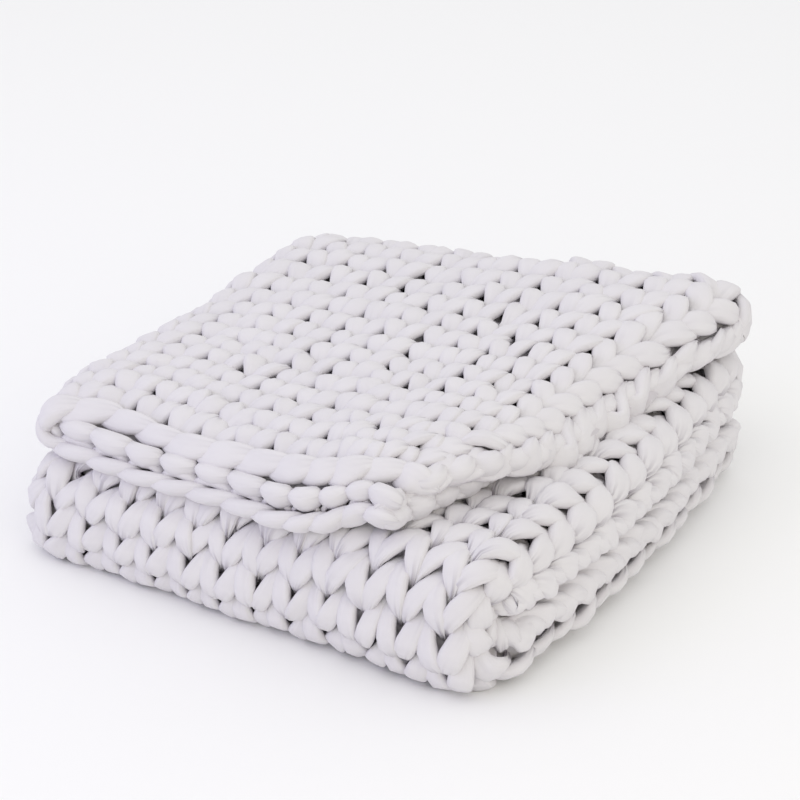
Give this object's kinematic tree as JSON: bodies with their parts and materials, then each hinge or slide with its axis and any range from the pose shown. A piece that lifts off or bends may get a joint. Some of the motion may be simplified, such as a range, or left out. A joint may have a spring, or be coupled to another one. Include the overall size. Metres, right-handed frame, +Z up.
{
  "type": "folded weighted blanket",
  "caption": "Chunky hand-knit weighted blanket in pale lilac-grey jersey yarn, folded in half and then in a Z into a soft pile.",
  "frame": {"origin": "centre of the bounding box at the base, on the surface the pile rests on", "axes": "+X along the front mouth from the left fold to the selvedges, +Y from the front fold to the back fold, +Z up"},
  "size_m": [0.5114, 0.5422, 0.1859],
  "materials": {
    "jersey_yarn": "matte"
  },
  "bodies": {
    "root": {"knitted_blanket": "jersey_yarn"}
  },
  "joints": []
}
